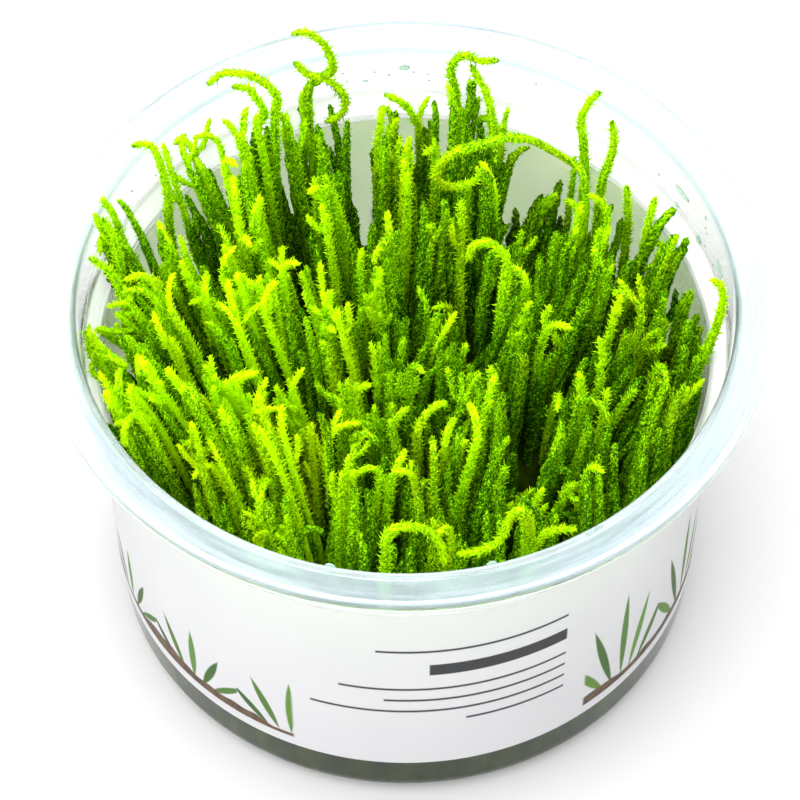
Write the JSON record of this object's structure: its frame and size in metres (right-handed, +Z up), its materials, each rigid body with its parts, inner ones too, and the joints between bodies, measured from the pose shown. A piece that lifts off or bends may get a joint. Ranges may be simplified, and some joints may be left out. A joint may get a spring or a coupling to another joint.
{
  "type": "moss tissue culture cup",
  "caption": "Round clear culture cup with a wide lid flange and a wrap-around label, filled with an upright cushion of bright green moss fronds.",
  "frame": {"origin": "centre of the cup's base, on the surface it stands on", "axes": "+Z up out of the cup's mouth, -Y towards the front of the label, +X to the right of someone who faces it"},
  "size_m": [0.096, 0.096, 0.0727],
  "materials": {
    "clear_plastic": "clear moulded polypropylene, slightly milky at the flange",
    "label_film": "white satin film with plain grey and green print",
    "moss": "living moss, bright yellow-green tips over dark green stems"
  },
  "bodies": {
    "root": {"cup": "clear_plastic", "label": "label_film", "moss": "moss"}
  },
  "joints": []
}
